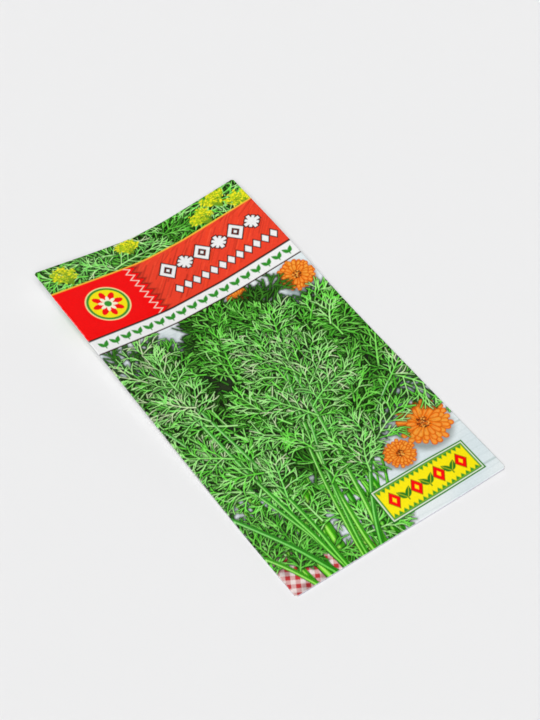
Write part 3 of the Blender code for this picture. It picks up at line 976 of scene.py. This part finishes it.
def add_skin(sheet, skin, front_cell, back_cell):
    """One side of the paper, printed (1) or inner (-1). Returns its parts and its rim."""
    columns, rows = grid_marks(SIDE_LINE, front_cell), grid_marks(END_LINE, front_cell)
    shift = skin * PAPER / 2.0
    x, y = np.meshgrid(columns, rows, indexing="ij")
    front = sheet.add(x, y, front_height(x, y) + shift, x, y)
    sheet.weave(front, skin)
    notch = max(1, round(CORNER_CUT / front_cell))
    panel_rows = even_marks(-END_LINE + CORNER_CUT, END_LINE - CORNER_CUT, back_cell)
    flap_columns = even_marks(-SIDE_LINE + CORNER_CUT, SIDE_LINE - CORNER_CUT, back_cell)
    left_columns = even_marks(-SIDE_LINE, LAP_RIGHT, back_cell)
    right_columns = even_marks(SIDE_LINE, LAP_LEFT, back_cell)
    parts = {
        "left": (front[0], add_side(sheet, -1, skin, panel_rows, left_columns, outer_back_height)),
        "right": (front[-1], add_side(sheet, 1, skin, panel_rows, right_columns, inner_back_height)),
        "bottom": (front[:, 0], add_end(sheet, -1, skin, flap_columns, back_cell)),
        "top": (front[:, -1], add_end(sheet, 1, skin, flap_columns, back_cell)),
    }
    rim = []
    for edge, lines in parts.values():
        sheet.weave(lines, skin)
        sheet.stitch(edge[notch:len(edge) - notch], lines[0], skin)
        rim.append(edge[:notch + 1])
        rim.append(np.concatenate([[edge[notch]], lines[:, 0]]))
        rim.append(lines[-1])
        rim.append(np.concatenate([[edge[-1 - notch]], lines[:, -1]]))
        rim.append(edge[-1 - notch:])
    return front, {name: lines for name, (edge, lines) in parts.items()}, rim


def millimetres_across(x):
    """Distance from the front's left edge."""
    return (x + SIDE_LINE) / MM


def millimetres_down(y):
    """Distance from the front's top edge."""
    return (END_LINE - y) / MM


def colour_printed_side(points, front, parts, front_face, back_face, paper):
    """Linear colour and fold wear at every point, from the two prints and the bare paper, with painted
    shade in grey round the lower half of each fold.
    """
    colours = np.tile(paper, (len(points), 1))
    wear = np.zeros(len(points))
    across, down = millimetres_across(points[:, 0]), millimetres_down(points[:, 1])
    colours[front] = front_face.colours[::-1].transpose(1, 0, 2)
    for name, lines in parts.items():
        panel = lines[FOLD_SIDES - 1:]
        fold = lines[:FOLD_SIDES - 1]
        # Painted shade: each fold turns from print to grey part way round; on the bottom end's fold the
        # grey starts near its top, as a dark line along the table
        print_ends = 0 if name == "bottom" else FOLD_SIDES // 2 - 2
        past = ease((np.arange(FOLD_SIDES - 1) - print_ends) / 2.0)[:, None, None]
        edge = front_face.at(across[fold], down[fold])
        colours[fold] = edge * (1.0 - past) + ink(FOLD_PAINTED_SHADE) * past
        if name in ("left", "right"):
            colours[panel] = back_face.at(across[panel], down[panel])
        if name == "right":
            hidden = panel[points[panel][:, 0, 0] < LAP_RIGHT + LAP_CLEAR / 2.0]
            colours[hidden] = paper
        if name in ("bottom", "top"):
            colours[panel] = paper
        crown = 1.0 - np.abs(np.arange(FOLD_SIDES - 1) - (FOLD_SIDES / 2 - 1)) / (FOLD_SIDES / 2)
        wear[fold] = crown[:, None]
    return colours, wear


def map_places(sheet, flat, inner_from):
    """Places on a flat map: the printed side large, the inner side small in a free corner."""
    places = flat / MAP_SPAN + 0.5
    places[:, 0] += MAP_SHIFT
    places[inner_from:] = flat[inner_from:] / MAP_SPAN * INNER_SCALE + np.array(INNER_CORNER)
    return places


def build_envelope(looks, slots):
    """The folded sheet as one closed thin body with its print on it."""
    front_cell, back_cell = looks.front_cell, looks.back_cell
    inks = {name: np.array(getattr(looks, name)) for name in ("red", "orange", "yellow", "green", "paper")}
    sheet = Sheet()
    front, parts, rim = add_skin(sheet, 1, front_cell, back_cell)
    printed_count = sheet.count
    inner_rim = add_skin(sheet, -1, INSIDE_FRONT_CELL, INSIDE_BACK_CELL)[2]
    for line, other in zip(rim, inner_rim):
        sheet.stitch(line, other, 0)
    points, flat = np.concatenate(sheet.points), np.concatenate(sheet.flat)

    across = millimetres_across(grid_marks(SIDE_LINE, front_cell))
    down = millimetres_down(grid_marks(END_LINE, front_cell))[::-1]
    front_face = front_print(across, down, looks.frond_count, inks)
    back_across, back_down = [
        np.arange(0.0, length + 0.1, back_cell / MM) for length in (FACE_WIDTH, FACE_LENGTH)
    ]
    back_face = back_print(back_across, back_down, inks)
    colours, wear = colour_printed_side(
        points[:printed_count], front, parts, front_face, back_face, inks["paper"],
    )

    mesh = bpy.data.meshes.new("packet_paper")
    mesh.from_pydata(points.tolist(), [], sheet.faces)
    kinds = np.array(sheet.kinds)
    mesh.polygons.foreach_set("material_index", np.where(kinds == 1, 0, 1).astype(np.int32))
    mesh.polygons.foreach_set("use_smooth", np.ones(len(kinds), dtype=bool))
    everything = np.ones((len(points), 4), dtype=np.float32)
    everything[:printed_count, :3] = colours
    everything[printed_count:, :3] = ink("#efece2")
    print_colours = mesh.color_attributes.new("packet_print", 'FLOAT_COLOR', 'POINT')
    print_colours.data.foreach_set("color", everything.ravel())
    worn = np.zeros(len(points), dtype=np.float32)
    worn[:printed_count] = wear
    mesh.attributes.new("fold_wear", 'FLOAT', 'POINT').data.foreach_set("value", worn)
    places = map_places(sheet, flat, printed_count)
    numbers = np.zeros(len(mesh.loops), dtype=np.int32)
    mesh.loops.foreach_get("vertex_index", numbers)
    uv = mesh.uv_layers.new(name="OFBake")
    uv.data.foreach_set("uv", places[numbers].astype(np.float32).ravel())
    for material in slots:
        mesh.materials.append(material)
    shell = bmesh.new()
    shell.from_mesh(mesh)
    bmesh.ops.recalc_face_normals(shell, faces=shell.faces)
    shell.to_mesh(mesh)
    shell.free()
    return add_object("packet_paper", mesh)


# Materials

def set_inputs(tree, node, inputs):
    """Sets or links a node's inputs."""
    for name, value in inputs.items():
        if isinstance(value, bpy.types.NodeSocket):
            tree.links.new(value, node.inputs[name])
        else:
            node.inputs[name].default_value = value


def add_node(tree, kind, settings=None, inputs=None):
    """Adds a node, sets its own values, and sets or links its inputs."""
    node = tree.nodes.new(kind)
    for name, value in (settings or {}).items():
        setattr(node, name, value)
    set_inputs(tree, node, inputs or {})
    return node


def new_material(name):
    """An empty node material and its Principled shader."""
    material = bpy.data.materials.new(name)
    material.use_nodes = True
    tree = material.node_tree
    tree.nodes.clear()
    shader = add_node(tree, "ShaderNodeBsdfPrincipled")
    add_node(tree, "ShaderNodeOutputMaterial", inputs={"Surface": shader.outputs["BSDF"]})
    return material, tree, shader


def per_metre(millimetres):
    """Noise scale that repeats about once in so many millimetres."""
    return 1.0 / (millimetres * MM)


def printed_coated_paper():
    """Clay-coated paper, offset printed and varnished: strong inks under a thin even gloss, a
    faint mottle where ink took unevenly, and white fibres where the folds have rubbed."""
    material, tree, shader = new_material("coated paper, offset printed")
    place = add_node(tree, "ShaderNodeTexCoord").outputs["Object"]
    inks = add_node(tree, "ShaderNodeAttribute", {"attribute_name": "packet_print"})
    wear = add_node(tree, "ShaderNodeAttribute", {"attribute_name": "fold_wear"})
    take = add_node(tree, "ShaderNodeTexNoise", inputs={
        "Vector": place, "Scale": per_metre(0.7), "Detail": 3.0,
    })
    mottle = add_node(tree, "ShaderNodeMapRange", inputs={
        "Value": take.outputs["Fac"], "From Min": 0.25, "From Max": 0.75, "To Min": 0.87, "To Max": 0.95,
    })
    inked = add_node(tree, "ShaderNodeVectorMath", {"operation": 'SCALE'}, {
        0: inks.outputs["Color"], "Scale": mottle.outputs["Result"],
    })
    rub = add_node(tree, "ShaderNodeTexNoise", inputs={
        "Vector": place, "Scale": per_metre(0.9), "Detail": 4.0, "Roughness": 0.65,
    })
    rubbed = add_node(tree, "ShaderNodeMapRange", inputs={
        "Value": rub.outputs["Fac"], "From Min": 0.45, "From Max": 0.7, "To Min": 0.0, "To Max": 0.6,
    })
    bare = add_node(tree, "ShaderNodeMath", {"operation": 'MULTIPLY', "use_clamp": True}, {
        0: wear.outputs["Fac"], 1: rubbed.outputs["Result"],
    })
    worn = add_node(tree, "ShaderNodeMix", {"data_type": 'RGBA'}, {
        0: bare.outputs[0], 6: inked.outputs[0], 7: opaque("#e9e6ea"),
    })
    varnish = add_node(tree, "ShaderNodeTexNoise", inputs={
        "Vector": place, "Scale": per_metre(2.2), "Detail": 3.0,
    })
    gloss = add_node(tree, "ShaderNodeMapRange", inputs={
        "Value": varnish.outputs["Fac"], "From Min": 0.3, "From Max": 0.7, "To Min": 0.30, "To Max": 0.40,
    })
    fibre = add_node(tree, "ShaderNodeTexNoise", inputs={
        "Vector": place, "Scale": per_metre(0.35), "Detail": 3.0,
    })
    fibres = add_node(tree, "ShaderNodeBump", inputs={
        "Strength": 0.12, "Distance": 0.00004, "Height": fibre.outputs["Fac"],
    })
    wave = add_node(tree, "ShaderNodeTexNoise", inputs={
        "Vector": place, "Scale": per_metre(16.0), "Detail": 1.0,
    })
    waves = add_node(tree, "ShaderNodeBump", inputs={
        "Strength": 0.35, "Distance": 0.00025, "Height": wave.outputs["Fac"],
        "Normal": fibres.outputs["Normal"],
    })
    set_inputs(tree, shader, {
        "Base Color": worn.outputs[2], "Roughness": gloss.outputs["Result"],
        "Normal": waves.outputs["Normal"], "Coat Normal": waves.outputs["Normal"],
        "IOR": PAPER_IOR, "Specular IOR Level": 0.12,
        "Coat Weight": 0.16, "Coat Roughness": 0.18, "Coat IOR": PAPER_IOR,
    })
    return material


def uncoated_paper():
    """The unprinted side and cut edge of the paper: matt, warm white, with short fibres."""
    material, tree, shader = new_material("paper, uncoated side and cut edge")
    place = add_node(tree, "ShaderNodeTexCoord").outputs["Object"]
    along = add_node(tree, "ShaderNodeMapping", inputs={"Vector": place, "Scale": (1.0, 3.0, 1.0)})
    fibre = add_node(tree, "ShaderNodeTexNoise", inputs={
        "Vector": along.outputs[0], "Scale": per_metre(0.5), "Detail": 4.0, "Roughness": 0.7,
    })
    share = add_node(tree, "ShaderNodeMapRange", inputs={
        "Value": fibre.outputs["Fac"], "From Min": 0.35, "From Max": 0.65,
    })
    colour = add_node(tree, "ShaderNodeMix", {"data_type": 'RGBA'}, {
        0: share.outputs["Result"], 6: opaque("#dcd8cf"), 7: opaque("#f2efe8"),
    })
    bump = add_node(tree, "ShaderNodeBump", inputs={
        "Strength": 0.4, "Distance": 0.00003, "Height": fibre.outputs["Fac"],
    })
    set_inputs(tree, shader, {
        "Base Color": colour.outputs[2], "Normal": bump.outputs["Normal"],
        "Roughness": 0.85, "IOR": PAPER_IOR,
    })
    return material


def dried_paper_glue():
    """Dextrin glue, rolled on and dried: a thin amber film with a low uneven shine."""
    material, tree, shader = new_material("dextrin glue, rolled on and dried")
    place = add_node(tree, "ShaderNodeTexCoord").outputs["Object"]
    along = add_node(tree, "ShaderNodeMapping", inputs={"Vector": place, "Scale": (1.0, 0.4, 1.0)})
    film = add_node(tree, "ShaderNodeTexNoise", inputs={
        "Vector": along.outputs[0], "Scale": per_metre(1.6), "Detail": 3.0, "Roughness": 0.6,
    })
    share = add_node(tree, "ShaderNodeMapRange", inputs={
        "Value": film.outputs["Fac"], "From Min": 0.3, "From Max": 0.7,
    })
    colour = add_node(tree, "ShaderNodeMix", {"data_type": 'RGBA'}, {
        0: share.outputs["Result"], 6: opaque("#c9a862"), 7: opaque("#e6d3a0"),
    })
    shine = add_node(tree, "ShaderNodeMapRange", inputs={
        "Value": film.outputs["Fac"], "From Min": 0.3, "From Max": 0.7, "To Min": 0.25, "To Max": 0.5,
    })
    bump = add_node(tree, "ShaderNodeBump", inputs={
        "Strength": 0.5, "Distance": 0.00002, "Height": film.outputs["Fac"],
    })
    set_inputs(tree, shader, {
        "Base Color": colour.outputs[2], "Roughness": shine.outputs["Result"],
        "Normal": bump.outputs["Normal"], "IOR": GLUE_IOR,
    })
    return material


def dry_seed_coat():
    """Dry dill fruit: dull brown between paler straw ribs and wings."""
    material, tree, shader = new_material("seed coat, dry and ribbed")
    place = add_node(tree, "ShaderNodeTexCoord").outputs["Object"]
    ribs = add_node(tree, "ShaderNodeAttribute", {"attribute_name": "seed_rib"})
    grain = add_node(tree, "ShaderNodeTexNoise", inputs={
        "Vector": place, "Scale": per_metre(0.4), "Detail": 4.0, "Roughness": 0.6,
    })
    share = add_node(tree, "ShaderNodeMapRange", inputs={
        "Value": grain.outputs["Fac"], "From Min": 0.3, "From Max": 0.7,
    })
    body = add_node(tree, "ShaderNodeMix", {"data_type": 'RGBA'}, {
        0: share.outputs["Result"], 6: opaque("#4f3520"), 7: opaque("#765233"),
    })
    colour = add_node(tree, "ShaderNodeMix", {"data_type": 'RGBA'}, {
        0: ribs.outputs["Fac"], 6: body.outputs[2], 7: opaque("#c3a06a"),
    })
    dullness = add_node(tree, "ShaderNodeMapRange", inputs={
        "Value": grain.outputs["Fac"], "From Min": 0.3, "From Max": 0.7, "To Min": 0.55, "To Max": 0.8,
    })
    bump = add_node(tree, "ShaderNodeBump", inputs={
        "Strength": 0.5, "Distance": 0.00005, "Height": grain.outputs["Fac"],
    })
    set_inputs(tree, shader, {
        "Base Color": colour.outputs[2], "Roughness": dullness.outputs["Result"],
        "Normal": bump.outputs["Normal"],
    })
    return material


def painted_board(colour):
    """The table: board painted matt, with the faintest roller texture."""
    material, tree, shader = new_material("board, painted matt")
    place = add_node(tree, "ShaderNodeTexCoord").outputs["Object"]
    roller = add_node(tree, "ShaderNodeTexNoise", inputs={"Vector": place, "Scale": per_metre(1.2)})
    bump = add_node(tree, "ShaderNodeBump", inputs={
        "Strength": 0.05, "Distance": 0.0001, "Height": roller.outputs["Fac"],
    })
    set_inputs(tree, shader, {
        "Base Color": (*colour, 1.0), "Normal": bump.outputs["Normal"],
        "Roughness": 0.95, "Specular IOR Level": 0.1,
    })
    return material


# Seeds

def seed_shape():
    """Points, faces and rib mask of one flat oval seed, ribbed along its back."""
    points, ribs = [], []
    for ring in range(1, SEED_RINGS):
        along = -math.cos(math.pi * ring / SEED_RINGS)
        girth = math.sqrt(1.0 - along * along) ** 0.9
        for step in range(SEED_ROUND):
            turn = 2.0 * math.pi * step / SEED_ROUND
            rib = max(0.0, math.sin(turn)) * (0.5 + 0.5 * math.cos(turn * 2 * SEED_RIBS))
            rise = 0.86 + 0.14 * rib if math.sin(turn) > 0.0 else 0.8
            wing = abs(math.cos(turn)) ** 6
            points.append((
                along * SEED_LENGTH / 2.0,
                girth * math.cos(turn) * SEED_WIDTH / 2.0,
                girth * math.sin(turn) * rise * SEED_THICKNESS / 2.0,
            ))
            ribs.append(min(1.0, max(rib, wing)))
    tips = [(-SEED_LENGTH / 2.0, 0.0, 0.0), (SEED_LENGTH / 2.0, 0.0, 0.0)]
    faces = []
    last = (SEED_RINGS - 2) * SEED_ROUND
    first_tip = len(points)
    for step in range(SEED_ROUND):
        after = (step + 1) % SEED_ROUND
        faces.append((first_tip, after, step))
        faces.append((first_tip + 1, last + step, last + after))
        for ring in range(SEED_RINGS - 2):
            start = ring * SEED_ROUND
            above = start + SEED_ROUND
            faces.append((start + step, start + after, above + after, above + step))
    return [Vector(point) for point in points + tips], faces, ribs + [1.0, 1.0]


def seed_places(source):
    """Place, turn and side up of each seed, on a shaken grid inside the oval bed."""
    places = []
    rows = int(2.0 * SEED_BED_HALF[1] / SEED_SPACING) + 1
    columns = int(2.0 * SEED_BED_HALF[0] / SEED_SPACING) + 1
    for row in range(rows):
        stagger = SEED_STAGGER * (-1) ** row
        for column in range(columns):
            x = column - (columns - 1) / 2.0 + stagger + source.uniform(-SEED_SHAKE, SEED_SHAKE)
            y = row - (rows - 1) / 2.0 + source.uniform(-SEED_SHAKE, SEED_SHAKE)
            turn = source.uniform(0.0, 2.0 * math.pi)
            tilt = source.uniform(-SEED_TILT, SEED_TILT)
            over = source.choice((0.0, math.pi))
            x *= SEED_SPACING
            y *= SEED_SPACING
            if math.hypot(x / SEED_BED_HALF[0], y / SEED_BED_HALF[1]) < 1.0:
                places.append((x, y + SEED_BED_Y, turn, tilt, over))
    return places


def build_seeds():
    """All the seeds as one piece, lying where the frame's seeds do."""
    shape, shape_faces, shape_ribs = seed_shape()
    points, faces, ribs = [], [], []
    for x, y, turn, tilt, over in seed_places(random.Random(SEED_RANDOM)):
        rotation = Euler((over, tilt, turn), 'XYZ').to_matrix()
        first = len(points)
        for point in shape:
            placed = rotation @ point + Vector((x, y, SEED_LEVEL))
            points.append((placed.x, placed.y, placed.z + float(table_height(placed.x, placed.y))))
        faces += [tuple(first + corner for corner in face) for face in shape_faces]
        ribs += shape_ribs
    mesh = bpy.data.meshes.new("ribbed_seeds")
    mesh.from_pydata(points, [], faces)
    mesh.polygons.foreach_set("use_smooth", [True] * len(faces))
    mesh.attributes.new("seed_rib", 'FLOAT', 'POINT').data.foreach_set("value", ribs)
    return add_object("ribbed_seeds", mesh)


# Stage

def build_floor(colour):
    """A wide pale board that turns up softly far out, so that no horizon shows."""
    profile = bmesh.new()
    line = [profile.verts.new((0.0, 0.0, 0.0)), profile.verts.new((TABLE_REACH, 0.0, 0.0))]
    for step in range(1, COVE_STEPS + 1):
        angle = math.pi / 2.0 * step / COVE_STEPS
        x = TABLE_REACH + COVE_REACH * math.sin(angle)
        line.append(profile.verts.new((x, 0.0, COVE_HEIGHT * (1.0 - math.cos(angle)))))
    edges = [profile.edges.new(pair) for pair in segments(line)]
    bmesh.ops.spin(profile, geom=line + edges, cent=(0, 0, 0), axis=(0, 0, 1),
                   angle=2.0 * math.pi, steps=TABLE_SECTORS)
    bmesh.ops.remove_doubles(profile, verts=profile.verts, dist=1e-6)
    bmesh.ops.recalc_face_normals(profile, faces=profile.faces)
    mesh = bpy.data.meshes.new("table_top")
    profile.to_mesh(mesh)
    profile.free()
    mesh.polygons.foreach_set("use_smooth", [True] * len(mesh.polygons))
    mesh.materials.append(painted_board(colour))
    return add_object("table_top", mesh)


def add_sun(name, strength):
    """A soft white distant light, which stands in its own direction from the packet."""
    towards, spread = LIGHTS[name]
    data = bpy.data.lights.new(name, 'SUN')
    data.energy = strength
    data.angle = math.radians(spread)
    lamp = add_object(name, data)
    lamp.rotation_mode = 'QUATERNION'
    lamp.rotation_quaternion = Vector(towards).to_track_quat('Z', 'Y')
    return lamp


def add_camera():
    """A long lens over the packet's lower left side, at the measured place and turn."""
    cos_up = math.cos(CAMERA_ELEVATION)
    look = Vector((
        cos_up * math.sin(CAMERA_AZIMUTH), cos_up * math.cos(CAMERA_AZIMUTH), -math.sin(CAMERA_ELEVATION),
    ))
    right = look.cross(Vector((0.0, 0.0, 1.0))).normalized()
    down = look.cross(right)
    cos_roll, sin_roll = math.cos(CAMERA_ROLL), math.sin(CAMERA_ROLL)
    rolled_right = right * cos_roll + down * sin_roll
    rolled_down = down * cos_roll - right * sin_roll
    data = bpy.data.cameras.new("camera")
    data.lens = CAMERA_LENS
    data.sensor_width = 36.0
    data.clip_start = 0.01
    camera = add_object("camera", data)
    camera.rotation_mode = 'QUATERNION'
    camera.rotation_quaternion = Matrix((rolled_right, -rolled_down, -look)).transposed().to_quaternion()
    camera.location = CAMERA_TARGET - look * CAMERA_DISTANCE
    bpy.context.scene.camera = camera


# Add-on

def colour_choice(name, colour, description):
    """A colour that the user can change, from its sRGB hex value."""
    return bpy.props.FloatVectorProperty(
        name=name, description=description, default=linear(colour), subtype='COLOR', min=0.0, max=1.0)


def light_choice(name, strength, description):
    """A light's strength, which the user can change."""
    return bpy.props.FloatProperty(name=name, description=description, default=strength, min=0.0)


class SeedPacketLooks(bpy.types.PropertyGroup):
    """Sizes and colours that a user would change."""

    front_cell: bpy.props.FloatProperty(
        name="Front cell", description="Size of one cell of the front's grid, which carries its print",
        default=0.00025, min=0.0001, unit='LENGTH', precision=5)
    back_cell: bpy.props.FloatProperty(
        name="Back cell", description="Size of one cell of the back panels' grid",
        default=0.0004, min=0.0002, unit='LENGTH', precision=5)
    frond_count: bpy.props.IntProperty(
        name="Fronds", description="Fronds drawn in the picture on the front", default=220, min=1)
    red: colour_choice("Red", "#fb0203", "Ink of the red field and of the small red figures")
    orange: colour_choice("Orange", "#ee432b", "Ink of the brushed field under the ornament")
    yellow: colour_choice("Yellow", "#fbe90c", "Ink of the rosette and the panels")
    green: colour_choice("Green", "#35962c", "Ink of the frames, the teeth and the small leaves")
    paper: colour_choice("Paper", "#f2f2f1", "Coated paper where no ink lies on it")
    table_colour: colour_choice("Table", "#e8e8e8", "Paint of the table")
    key_strength: light_choice("Key light", 3.07, "Strength of the wide light over the near left corner")
    top_strength: light_choice("Top light", 0.28, "Strength of the very wide light straight above")
    side_strength: light_choice("Side light", 0.2, "Strength of the wide light over the left side")
    gleam_strength: light_choice("Gleam light", 0.03, "Strength of the small light on the raised corner")


class SEEDPACKET_OT_fold_paper(bpy.types.Operator):
    """Prints the sheet and folds it into the envelope"""

    bl_idname = "seedpacket.fold_paper"
    bl_label = "Fold Printed Paper"

    def execute(self, context):
        looks = context.scene.seed_packet_looks
        slots = (printed_coated_paper(), uncoated_paper())
        envelope = build_envelope(looks, slots)
        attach(envelope, "root")
        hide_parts("paper_envelope")
        return {'FINISHED'}


class SEEDPACKET_OT_lay_seeds(bpy.types.Operator):
    """Lays the ribbed seeds inside the packet"""

    bl_idname = "seedpacket.lay_seeds"
    bl_label = "Lay Seeds"

    def execute(self, context):
        seeds = build_seeds()
        seeds.data.materials.append(dry_seed_coat())
        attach(seeds, "root")
        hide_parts("dill_seeds")
        return {'FINISHED'}


class SEEDPACKET_OT_finish_glue(bpy.types.Operator):
    """Gives the frame's three lines of glue their dried film"""

    bl_idname = "seedpacket.finish_glue"
    bl_label = "Finish Glue"

    def execute(self, context):
        film = dried_paper_glue()
        for name in ("seam_glue", "bottom_flap_glue", "top_flap_glue"):
            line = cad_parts[name]
            line.data.materials.clear()
            line.data.materials.append(film)
        return {'FINISHED'}


class SEEDPACKET_OT_set_stage(bpy.types.Operator):
    """Sets the table, the soft lights and the camera"""

    bl_idname = "seedpacket.set_stage"
    bl_label = "Set Stage"

    def execute(self, context):
        looks = context.scene.seed_packet_looks
        build_floor(looks.table_colour)
        key = add_sun("key light", looks.key_strength)
        top = add_sun("top light", looks.top_strength)
        side = add_sun("side light", looks.side_strength)
        gleam = add_sun("gleam light", looks.gleam_strength)
        world = bpy.data.worlds.new("studio")
        world.use_nodes = True
        background = world.node_tree.nodes["Background"]
        set_inputs(world.node_tree, background, {
            "Color": opaque(WORLD_COLOUR), "Strength": WORLD_STRENGTH,
        })
        context.scene.world = world
        context.scene.view_settings.view_transform = 'Standard'
        add_camera()
        return {'FINISHED'}


class SEEDPACKET_PT_sidebar(bpy.types.Panel):
    """Shows the packet's sizes, colours and light strengths, and a button for each step"""

    bl_idname = "SEEDPACKET_PT_sidebar"
    bl_label = "Seed Packet"
    bl_space_type = 'VIEW_3D'
    bl_region_type = 'UI'
    bl_category = "Seed Packet"

    def draw(self, context):
        looks = context.scene.seed_packet_looks
        for name in looks.bl_rna.properties.keys():
            if name not in ("rna_type", "name"):
                self.layout.prop(looks, name)
        for operator in OPERATORS:
            self.layout.operator(operator.bl_idname)


OPERATORS = (
    SEEDPACKET_OT_fold_paper,
    SEEDPACKET_OT_lay_seeds,
    SEEDPACKET_OT_finish_glue,
    SEEDPACKET_OT_set_stage,
)
CLASSES = (SeedPacketLooks, *OPERATORS, SEEDPACKET_PT_sidebar)


def register():
    for item in CLASSES:
        bpy.utils.register_class(item)
    bpy.types.Scene.seed_packet_looks = bpy.props.PointerProperty(type=SeedPacketLooks)


def unregister():
    del bpy.types.Scene.seed_packet_looks
    for item in reversed(CLASSES):
        bpy.utils.unregister_class(item)


def main():
    register()
    for operator in OPERATORS:
        group, name = operator.bl_idname.split(".")
        getattr(getattr(bpy.ops, group), name)()


if __name__ == "__main__":
    main()
